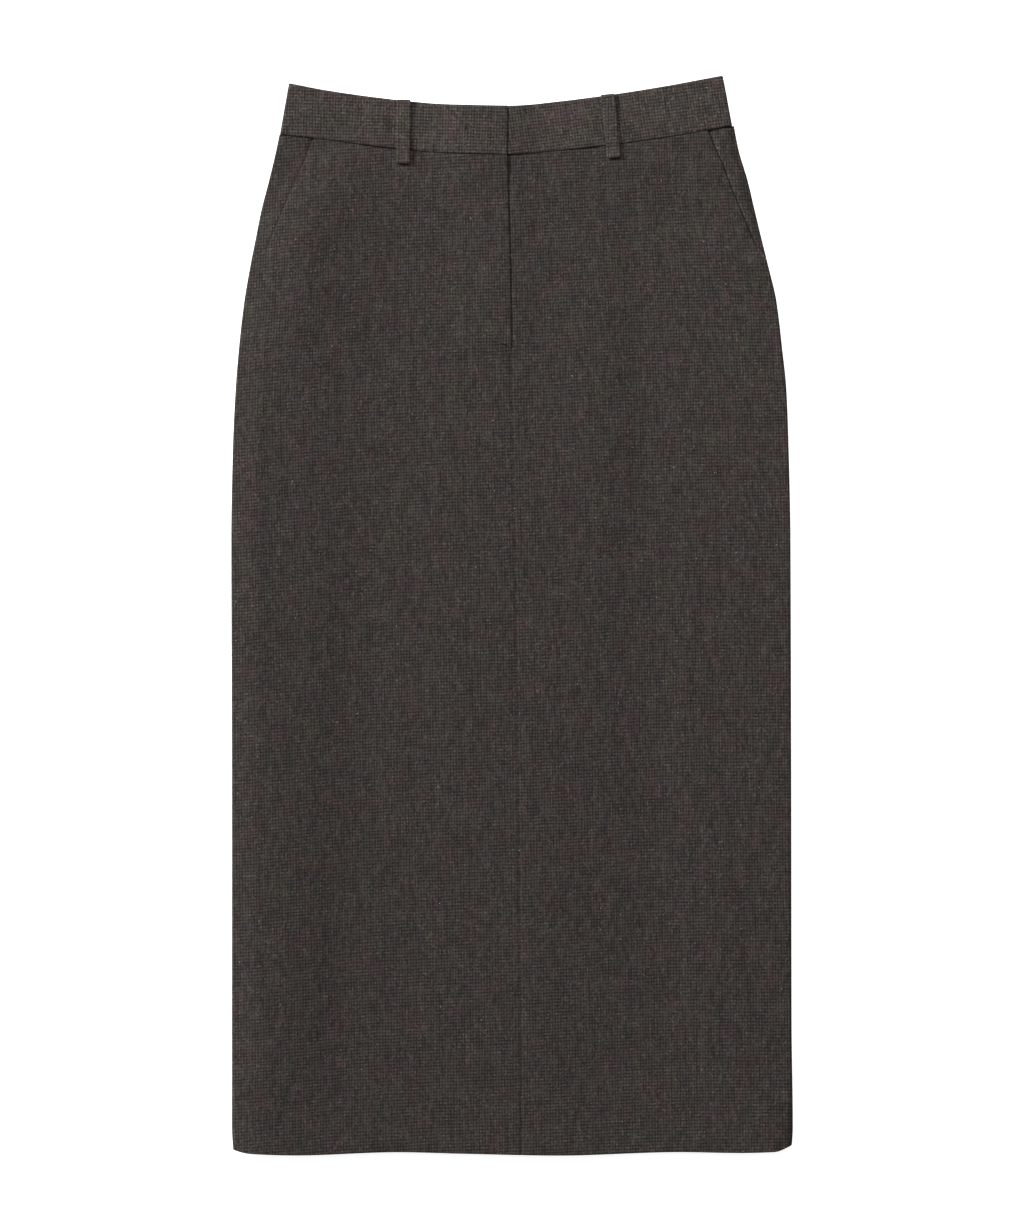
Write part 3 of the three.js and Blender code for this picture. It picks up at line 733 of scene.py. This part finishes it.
def right_band_level(x):
    swell = beside_loop(x, LOOP_X["right"])
    return FRONT_BAND_LEVEL + band_lift(x) + swell - (1 - pressed_end(x)) * BAND / 2


def left_band_level(x):
    distance = x - BAND_EDGE - 0.4
    beside = beside_lap(distance, 1.5) + groove(distance - 0.5, 0.8, 0.15)
    return FRONT_BAND_LEVEL + beside + beside_loop(x, LOOP_X["left"])


def waistband(name, start, end, curls, up, level, tilt, pressed=no_press, fine=None):
    """A length of the waistband between two stations. Its outer ends curl to the side seams."""
    radius = abs(BAND_SEAM_LEVEL - (FRONT_BAND_LEVEL if up > 0 else BACK_BAND_LEVEL)) - SEAM_GAP / 4
    arc = radius * math.pi / 2
    long = float(abs(top_x(end) - top_x(start)))
    along = spread(long, 2.6, fine)
    stations = mix(start, end, along / long)
    angles, sign = np.zeros_like(stations), np.zeros_like(stations)
    bends = np.linspace(0, math.pi / 2, 9)[1:]
    if start in curls:
        stations = np.concatenate([np.full(8, start), stations])
        angles = np.concatenate([bends[::-1], angles])
        sign = np.concatenate([np.full(8, -1.0), sign])
    if end in curls:
        stations = np.concatenate([stations, np.full(8, end)])
        angles = np.concatenate([angles, bends])
        sign = np.concatenate([sign, np.ones(8)])
    height = 41
    across = spread(height, 2.6)[:, None] / height

    def inset(x):
        return x * (1 - (radius + BAND / 2) / WAIST_HALF)

    flat_top, flat_seam = inset(top_x(stations)), inset(seam_x(stations))
    reach = sign * radius * np.sin(angles)
    flat_x = mix(flat_top, flat_seam, across)
    x = flat_x + reach
    y = mix(top_y(flat_top + reach), seam_y(flat_seam + reach), across)
    soft = unevenness(x * 1.5, y * 1.5, 61) * 0.8 + 0.32 * np.sin(math.pi * across)
    z = level(flat_x) + up * soft - up * radius * (1 - np.cos(angles))
    tiny = 0.5
    slope = (level(flat_x + tiny) - level(flat_x - tiny)) / (2 * tiny)
    normal = np.stack(
        [sign * np.sin(angles) - up * slope * np.cos(angles), 0 * x, up * np.cos(angles) + 0 * x], -1
    )
    normal /= np.linalg.norm(normal, axis=-1, keepdims=True)
    run = np.concatenate([[0], np.cumsum(np.hypot(np.diff(flat_x[0]), radius * np.diff(angles)))])
    from_start, from_end = run[None, :], run[-1] - run[None, :]
    from_top, from_seam = across * height, (1 - across) * height
    curled = 0.8 * angles / (math.pi / 2)
    shape = np.minimum(
        np.minimum(rim(from_top, *BAND_TOP), mix(rim(from_seam, *BAND_SEAM), 1, curled)),
        np.minimum(rim(from_start, *BAND_END), rim(from_end, *BAND_END)),
    )
    turned = math.radians(tilt)
    u = x * math.cos(turned) + y * math.sin(turned) + sign * arc * angles
    v = y * math.cos(turned) - x * math.sin(turned)
    mid = np.stack([x, y, z], -1)
    weave = np.stack([u, v], -1)
    half = BAND / 2 * shape * pressed(flat_x)
    return closed_shell(name, mid, normal, half, half, weave)


LOOP_PRESSED, LOOP_SINK = 0.95, 0.35  # layer and sag of the front loops, which are pressed flat


def belt_loop(name, station, side, shift):
    """A pressed strip with its ends turned under, on the front or, with side None, on the back.

    shift moves its upper end along the waist.
    """
    x0, x1 = float(top_x(station)) + shift, float(seam_x(station))
    y0, y1 = float(top_y(x0)), float(seam_y(x1))
    lean = math.atan2(x1 - x0, y0 - y1)
    out = 1 if side else -1
    if side:
        on_band = FRONT_BAND_LEVEL + BAND / 2 + SEAM_GAP
        low_x, low_y = x0 + LOOP_LENGTH * math.sin(lean), y0 - LOOP_LENGTH * math.cos(lean)
        on_panel = float(front_panel_level(side, np.array(low_x), np.array(low_y)))
        on_panel += CLOTH / 2 + SEAM_GAP
    else:
        on_band = on_panel = 2 * LOOP_CLOTH
    thick = LOOP_PRESSED if side else LOOP_CLOTH
    half = thick / 2

    def face(along):
        step = ease((along - (LOOP_LENGTH - 2 * LOOP_END)) / LOOP_END)
        sunk = (LOOP_SINK if side else 0) * np.sin(math.pi * along / LOOP_LENGTH)
        return mix(on_band, on_panel, step) + out * (2 * thick - sunk - half)

    turn = np.linspace(-math.pi / 2, math.pi / 2, 11)[1:-1]
    lie = np.linspace(0, 1, 8)
    upper_in = np.stack([mix(LOOP_END, half, lie), on_band + out * half + 0 * lie], -1)
    upper_turn = np.stack(
        [half - half * np.cos(turn), on_band + out * (thick + half * np.sin(turn))], -1
    )
    run = np.linspace(half, LOOP_LENGTH - half, 64)
    lower_turn = np.stack(
        [LOOP_LENGTH - half + half * np.cos(turn), on_panel + out * (thick - half * np.sin(turn))], -1
    )
    lower_along = mix(LOOP_LENGTH - half, LOOP_LENGTH - LOOP_END, lie)
    lower_in = np.stack([lower_along, on_panel + out * half + 0 * lie], -1)
    path = np.concatenate([upper_in, upper_turn, np.stack([run, face(run)], -1), lower_turn, lower_in])
    step = np.gradient(path, axis=0)
    step /= np.linalg.norm(step, axis=1, keepdims=True)
    travelled = np.concatenate([[0], np.cumsum(np.linalg.norm(np.diff(path, axis=0), axis=1))])
    across = spread(LOOP_WIDTH, 0.8) - LOOP_WIDTH / 2
    wide = 1 + 0.018 * ripple(travelled, 0 * travelled, 9, 9, 71 + int(station * 10))
    a, z = path[:, :1], path[:, 1:]
    b = across[None, :] * wide[:, None]
    normal_a, normal_z = -out * step[:, 1:], out * step[:, :1]
    x = x0 + a * math.sin(lean) + b * math.cos(lean)
    y = y0 - a * math.cos(lean) + b * math.sin(lean)
    mid = np.stack([x, y, z + 0 * b], -1)
    normal = np.stack(
        [normal_a * math.sin(lean) + 0 * b, -normal_a * math.cos(lean) + 0 * b, normal_z + 0 * b], -1
    )
    edge = LOOP_WIDTH / 2 - np.abs(across)[None, :]
    ends = np.minimum(travelled, travelled[-1] - travelled)[:, None]
    crown = 1 + 0.12 * np.cos(math.pi * across / LOOP_WIDTH)[None, :]
    shape = np.minimum(rim(edge, 0.7, 0.1), rim(ends, 0.4, 0.4))
    weave = np.stack([x, -travelled[:, None] + 0 * b], -1)
    outside = half * shape * (crown if side else 1)
    return closed_shell(name, mid, normal, outside, half * shape, weave)


def thread(name, stitches, radius):
    """Stitches as one mesh: each is a list of points that a round thread follows."""
    points, faces, sides = [], [], 6
    for line in stitches:
        line = np.array(line, float)
        step = np.gradient(line, axis=0)
        step /= np.linalg.norm(step, axis=1, keepdims=True)
        side = np.cross(step, [0, 0, 1])
        side /= np.maximum(np.linalg.norm(side, axis=1, keepdims=True), 1e-6)
        rise = np.cross(side, step)
        start = len(points)
        for k, centre in enumerate(line):
            for s in range(sides):
                turned = 2 * math.pi * s / sides
                points.append(centre + radius * (math.cos(turned) * side[k] + math.sin(turned) * rise[k]))
        for k in range(len(line) - 1):
            for s in range(sides):
                a, b = start + k * sides + s, start + k * sides + (s + 1) % sides
                faces.append((a, b, b + sides, a + sides))
        last = start + (len(line) - 1) * sides
        faces.append(tuple(range(start, start + sides))[::-1])
        faces.append(tuple(range(last, last + sides)))
    mesh = bpy.data.meshes.new(name)
    mesh.from_pydata([tuple(point * MM) for point in points], [], faces)
    mesh.polygons.foreach_set("use_smooth", np.ones(len(faces), bool))
    mesh.update()
    piece = bpy.data.objects.new(name, mesh)
    bpy.context.scene.collection.objects.link(piece)
    return piece


THREAD_RADIUS = 0.17


def bartack(name, x, y, turned, length, wide, height):
    """A short dense bar of stitches across a line of strain. height gives the cloth's face."""
    along = np.array([math.cos(turned), math.sin(turned)])
    across = np.array([-along[1], along[0]])
    stitches = []
    for t in np.linspace(-0.5, 0.5, max(3, int(length / 0.42))):
        centre = np.array([x, y]) + along * t * length
        line = []
        for s in np.linspace(-1, 1, 7):
            spot = centre + across * s * wide / 2
            arch = THREAD_RADIUS * (1.2 - 2.2 * s**4)
            line.append([*spot, float(height(*spot)) + arch])
        stitches.append(line)
    return thread(name, stitches, THREAD_RADIUS)


# Check and colours of the cloth
CHECK_WIDE, CHECK_HIGH = 2.35, 2.7  # one repeat of the check across and along the grain
THREADS = 4  # yarns in a repeat each way: two dark and two light
DARK_YARN = (0.0126, 0.0105, 0.009)
LIGHT_YARN = (0.0436, 0.0369, 0.0312)
NEP = (0.2, 0.18, 0.16)
# Coloured fibres in the yarn: where their pattern starts, its scale per mm, its share and its tint
COLOURED_FIBRES = [
    ((31, 7, 0), 0.045, 5.6, (1.15, 0.92, 1.03, 1)),
    ((5, 83, 0), 0.07, 2.8, (0.95, 1.02, 0.92, 1)),
    ((67, 19, 0), 0.06, 3.4, (0.94, 0.97, 1.15, 1)),
    ((11, 47, 0), 0.3, 1.6, (1.26, 0.9, 0.95, 1)),
    ((91, 3, 0), 0.35, 1.1, (0.87, 1.06, 0.92, 1)),
]


class Nodes:
    """Short forms for adding shader nodes to a material."""

    def __init__(self, name):
        self.material = bpy.data.materials.new(name)
        self.material.use_nodes = True
        self.tree = self.material.node_tree
        self.tree.nodes.clear()

    def add(self, kind, inputs=(), output=0, **settings):
        node = self.tree.nodes.new(kind)
        for key, value in settings.items():
            setattr(node, key, value)
        for key, value in dict(inputs).items():
            socket = node.inputs[key]
            if isinstance(value, bpy.types.NodeSocket):
                self.tree.links.new(value, socket)
            else:
                socket.default_value = value
        return node.outputs[output] if len(node.outputs) else None

    def math(self, operation, a, b=0.0, c=0.0):
        return self.add("ShaderNodeMath", {0: a, 1: b, 2: c}, operation=operation)

    def mix(self, share, a, b):
        inputs = {0: share, 6: a, 7: b}
        return self.add("ShaderNodeMix", inputs, output=2, data_type="RGBA")

    def parts(self, vector):
        node = self.tree.nodes.new("ShaderNodeSeparateXYZ")
        self.tree.links.new(vector, node.inputs[0])
        return node.outputs[0], node.outputs[1]

    def noise(self, vector, scale, detail=2.0, rough=0.5):
        inputs = {"Vector": vector, "Scale": scale, "Detail": detail, "Roughness": rough}
        return self.add("ShaderNodeTexNoise", inputs)


def wool(name, tone, sheen):
    """Plain-woven wool with a small check of dark and light yarns, a short nap, a few neps and a few painted
    glints.
    """
    n = Nodes(name)
    weave = n.add("ShaderNodeAttribute", output=1, attribute_name="weave")
    drift = n.math("SUBTRACT", n.noise(weave, 0.035), 0.5)
    wander = n.math("SUBTRACT", n.noise(weave, 0.4), 0.5)
    across, along = n.parts(weave)
    across = n.math("MULTIPLY_ADD", wander, 0.5, n.math("MULTIPLY_ADD", drift, 1.3, across))
    along = n.math("MULTIPLY_ADD", wander, 0.7, n.math("MULTIPLY_ADD", drift, -1.8, along))
    u = n.math("MULTIPLY", across, THREADS / CHECK_WIDE)
    v = n.math("MULTIPLY", along, THREADS / CHECK_HIGH)
    column, row = n.math("FLOOR", u), n.math("FLOOR", v)

    # Each yarn is dark or light, and a little different from its neighbours
    slow_u, slow_v = n.math("MULTIPLY", u, 0.12), n.math("MULTIPLY", v, 0.05)
    column_place = n.math("MULTIPLY", n.math("ADD", column, 0.5), 0.73)
    row_place = n.math("MULTIPLY", n.math("ADD", row, 0.5), 0.73)
    warp_tone = n.noise(n.add("ShaderNodeCombineXYZ", {0: column_place, 1: slow_v, 2: 0.0}), 1.0)
    weft_tone = n.noise(n.add("ShaderNodeCombineXYZ", {0: slow_u, 1: row_place, 2: 40.0}), 1.0)
    warp = n.math("GREATER_THAN", n.math("FLOORED_MODULO", column, THREADS), 1.5)
    weft = n.math("GREATER_THAN", n.math("FLOORED_MODULO", row, THREADS), 1.5)
    warp = n.math("MULTIPLY_ADD", n.math("SUBTRACT", warp_tone, 0.5), 1.5, warp)
    weft = n.math("MULTIPLY_ADD", n.math("SUBTRACT", weft_tone, 0.5), 1.5, weft)
    warp_over = n.math("LESS_THAN", n.math("FLOORED_MODULO", n.math("ADD", column, row), 2.0), 0.5)
    over = n.add("ShaderNodeMix", {0: warp_over, 2: weft, 3: warp})
    both = n.add("ShaderNodeMix", {0: 0.22, 2: n.math("MINIMUM", warp, weft), 3: n.math("MAXIMUM", warp, weft)})
    light = n.add("ShaderNodeMix", {0: 0.3, 2: both, 3: over})

    # Uneven yarn, fibres and broad soft patches, and painted glints on a few random yarn cells
    cell = n.add("ShaderNodeCombineXYZ", {0: n.math("FLOOR", n.math("MULTIPLY", u, 0.5)),
                                          1: n.math("FLOOR", n.math("MULTIPLY", v, 0.5)), 2: 0.0})
    cell_tone_and_glint = n.add("ShaderNodeTexWhiteNoise", {"Vector": cell}, noise_dimensions="3D")
    light = n.math("MULTIPLY_ADD", n.math("SUBTRACT", cell_tone_and_glint, 0.5), 0.5, light)
    # painted glints: the few cells whose random tone is above 0.93 are made much lighter, a painted highlight
    light = n.math("MULTIPLY_ADD", n.math("MAXIMUM", n.math("SUBTRACT", cell_tone_and_glint, 0.93), 0.0), 12.0, light)
    lengthwise = n.add("ShaderNodeVectorMath", {0: weave, 1: (1.6, 0.5, 1)}, operation="MULTIPLY")
    light = n.math("MULTIPLY_ADD", n.math("SUBTRACT", n.noise(weave, 0.75, 3.0, 0.65), 0.5), 1.2, light)
    light = n.math("MULTIPLY_ADD", n.math("SUBTRACT", n.noise(lengthwise, 0.19), 0.5), 1.25, light)
    light = n.math("MULTIPLY_ADD", n.math("SUBTRACT", n.noise(lengthwise, 0.08, 3.0), 0.5), 0.85, light)
    light = n.math("MAXIMUM", light, -0.16)

    dark_colour = tuple(c * tone for c in DARK_YARN) + (1,)
    light_colour = tuple(c * tone for c in LIGHT_YARN) + (1,)
    colour = n.add("ShaderNodeMix", {0: light, 6: dark_colour, 7: light_colour}, output=2,
                   data_type="RGBA", clamp_factor=False)
    for shift, scale, share, tint in COLOURED_FIBRES:
        place = n.add("ShaderNodeVectorMath", {0: weave, 1: shift}, operation="ADD")
        patch = n.math("MULTIPLY", n.math("SUBTRACT", n.noise(place, scale), 0.5), share)
        tinted = n.mix(patch, (1, 1, 1, 1), tint)
        colour = n.add("ShaderNodeMix", {0: 1.0, 6: colour, 7: tinted}, output=2,
                       data_type="RGBA", blend_type="MULTIPLY")
    cells = {"Vector": weave, "Scale": 0.06, "Randomness": 1.0}
    spot = n.add("ShaderNodeTexVoronoi", cells, voronoi_dimensions="2D")
    spot_colour = n.add("ShaderNodeTexVoronoi", cells, output=1, voronoi_dimensions="2D")
    near = n.math("LESS_THAN", spot, 0.025)
    chosen = n.math("LESS_THAN", n.parts(spot_colour)[0], 0.06)
    colour = n.mix(n.math("MULTIPLY", near, chosen), colour, NEP + (1,))

    over_warp = n.math("SINE", n.math("MULTIPLY", n.math("FRACT", u), math.pi))
    over_weft = n.math("SINE", n.math("MULTIPLY", n.math("FRACT", v), math.pi))
    crown = n.add("ShaderNodeMix", {0: warp_over, 2: over_weft, 3: over_warp})
    height = n.math("MULTIPLY_ADD", n.noise(weave, 3.2, 2.0, 0.7), 1.2, crown)
    bump = n.add("ShaderNodeBump", {"Strength": 0.45, "Distance": 0.00009, "Height": height})
    inputs = {
        "Base Color": colour,
        "Roughness": 0.92,
        "Specular IOR Level": 0.2,
        "Sheen Weight": sheen,
        "Sheen Roughness": 0.55,
        "Sheen Tint": (0.62, 0.56, 0.52, 1),
        "Normal": bump,
    }
    surface = n.add("ShaderNodeBsdfPrincipled", inputs)
    n.add("ShaderNodeOutputMaterial", {"Surface": surface})
    return n.material


def sewing_thread():
    n = Nodes("sewing_thread")
    place = n.add("ShaderNodeTexCoord", output=3)
    twist = n.noise(place, 2600.0, 2.0, 0.6)
    colour = n.mix(twist, (0.003, 0.0026, 0.0024, 1), (0.009, 0.0076, 0.0068, 1))
    bump = n.add("ShaderNodeBump", {"Strength": 0.4, "Distance": 0.00005, "Height": twist})
    inputs = {"Base Color": colour, "Roughness": 0.8, "Specular IOR Level": 0.15, "Normal": bump}
    surface = n.add("ShaderNodeBsdfPrincipled", inputs)
    n.add("ShaderNodeOutputMaterial", {"Surface": surface})
    return n.material


def finish_piece(piece, material, nodes=()):
    piece.data.materials.append(material)
    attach(piece, "root")
    if nodes:
        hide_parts(*nodes)
    return piece


wool_cloth = wool("wool_check", 0.965, 0.08)
# The band and the loops are the same wool as the panels, in copies painted lighter: painted light for the
# brighter light they catch
wool_band_painted_lighter = wool("wool_check_band_painted_lighter", 1.19, 0.08)
wool_loop_painted_lighter = wool("wool_check_loop_painted_lighter", 1.28, 0.1)
thread_material = sewing_thread()

# Panels and facings
for side in OUTWARD:
    front = finish_piece(front_panel(side), wool_cloth, [f"front_{side}"])
    facing = finish_piece(pocket_facing(side), wool_cloth, [f"pocket_facing_{side}"])
    back = finish_piece(back_panel(side), wool_cloth, [f"back_{side}"])

# Waistband
under_lap = WAIST[4]["station"] - BAND_UNDERLAP / (WAIST[4]["top_x"] - WAIST[3]["top_x"])
bands = {
    "waistband_back": waistband(
        "waistband_back_cloth", 0, 8, (0, 8), -1, lambda x: BACK_BAND_LEVEL + 0 * x, 3
    ),
    "waistband_front_left": waistband(
        "waistband_front_left_cloth", under_lap, 8, (8,), 1, left_band_level, 7.5,
        fine=(BAND_UNDERLAP, 4, 0.5),
    ),
    "waistband_front_right": waistband(
        "waistband_front_right_cloth", 0, 4, (0,), 1, right_band_level, -1.5, pressed_end
    ),
}
for node, band in bands.items():
    finish_piece(band, wool_band_painted_lighter, [node])

# Belt loops
LOOPS = [
    {"node": "belt_loop_front_right", "station": 2.06, "side": "right", "shift": -0.9},
    {"node": "belt_loop_front_left", "station": 6, "side": "left", "shift": 0},
    {"node": "belt_loop_back_right", "station": 1.6, "side": None, "shift": 0},
    {"node": "belt_loop_back_centre", "station": 4.1, "side": None, "shift": 0},
    {"node": "belt_loop_back_left", "station": 6.6, "side": None, "shift": 0},
]
for loop in LOOPS:
    strip = belt_loop(loop["node"] + "_cloth", loop["station"], loop["side"], loop["shift"])
    finish_piece(strip, wool_loop_painted_lighter, [loop["node"]])


# Bartacks
def on_front(x, y):
    return front_panel_level("right", np.array(x), np.array(y)) + CLOTH / 2


def on_band(x, y):
    return FRONT_BAND_LEVEL + band_lift(np.array(x)) + BAND / 2 + 0.2


tack = bartack("bartack_fly", -6.2, 224.3, -0.3, 4.6, 1.3, on_front)
finish_piece(tack, thread_material)
tick = bartack("tack_waistband", -37.4, 404, math.pi / 2, 2.6, 1.0, on_band)
finish_piece(tick, thread_material)


# Floor, light and camera
PHOTO_WIDE, PHOTO_HIGH, MM_PER_PIXEL = 1023, 1230, 0.83
LENS, SENSOR = 100, 36


FLOOR_GLOW = 0.8  # the white floor is lit from below too, so it takes hardly any shadow


def floor():
    n = Nodes("floor_white")
    place = n.add("ShaderNodeTexCoord", output=3)
    grain = n.noise(place, 30.0)
    colour = n.mix(grain, (0.9, 0.9, 0.9, 1), (0.93, 0.93, 0.93, 1))
    inputs = {
        "Base Color": colour,
        "Roughness": 0.9,
        "Specular IOR Level": 0.1,
        "Emission Color": (1, 1, 1, 1),
        "Emission Strength": FLOOR_GLOW,
    }
    surface = n.add("ShaderNodeBsdfPrincipled", inputs)
    n.add("ShaderNodeOutputMaterial", {"Surface": surface})
    half = 12
    mesh = bpy.data.meshes.new("floor")
    mesh.from_pydata([(-half, -half, 0), (half, -half, 0), (half, half, 0), (-half, half, 0)], [], [(0, 1, 2, 3)])
    mesh.materials.append(n.material)
    plane = bpy.data.objects.new("floor", mesh)
    bpy.context.scene.collection.objects.link(plane)


def sun(name, strength, angle, direction):
    light = bpy.data.lights.new(name, "SUN")
    light.energy = strength
    light.angle = math.radians(angle)
    lamp = bpy.data.objects.new(name, light)
    lamp.rotation_euler = Vector(direction).to_track_quat("Z", "Y").to_euler()
    bpy.context.scene.collection.objects.link(lamp)


def softbox(power, place):
    """A large lamp beyond the waist, aimed at the middle of the skirt."""
    light = bpy.data.lights.new("softbox", "AREA")
    light.energy = power
    light.size = 1
    lamp = bpy.data.objects.new("softbox", light)
    lamp.location = place
    lamp.rotation_euler = Vector(place).to_track_quat("Z", "Y").to_euler()
    bpy.context.scene.collection.objects.link(lamp)


def world(strength):
    scene = bpy.context.scene
    scene.world = bpy.data.worlds.new("studio")
    scene.world.use_nodes = True
    background = scene.world.node_tree.nodes["Background"]
    background.inputs["Color"].default_value = (1, 1, 1, 1)
    background.inputs["Strength"].default_value = strength


def camera():
    lens = bpy.data.cameras.new("camera")
    lens.lens = LENS
    lens.sensor_width = SENSOR
    lens.clip_start, lens.clip_end = 0.1, 50
    eye = bpy.data.objects.new("camera", lens)
    height = PHOTO_HIGH * MM_PER_PIXEL * LENS / SENSOR
    eye.location = (0, 0, height * MM + cad_box[1].z / 2)
    bpy.context.scene.collection.objects.link(eye)
    bpy.context.scene.camera = eye


floor()
sun("key", 6.8, 15, (-0.86, 0.36, 0.36))
softbox(18, (0.15, 1.35, 1.15))
world(0.26)
camera()
bpy.context.scene.view_settings.view_transform = "Standard"
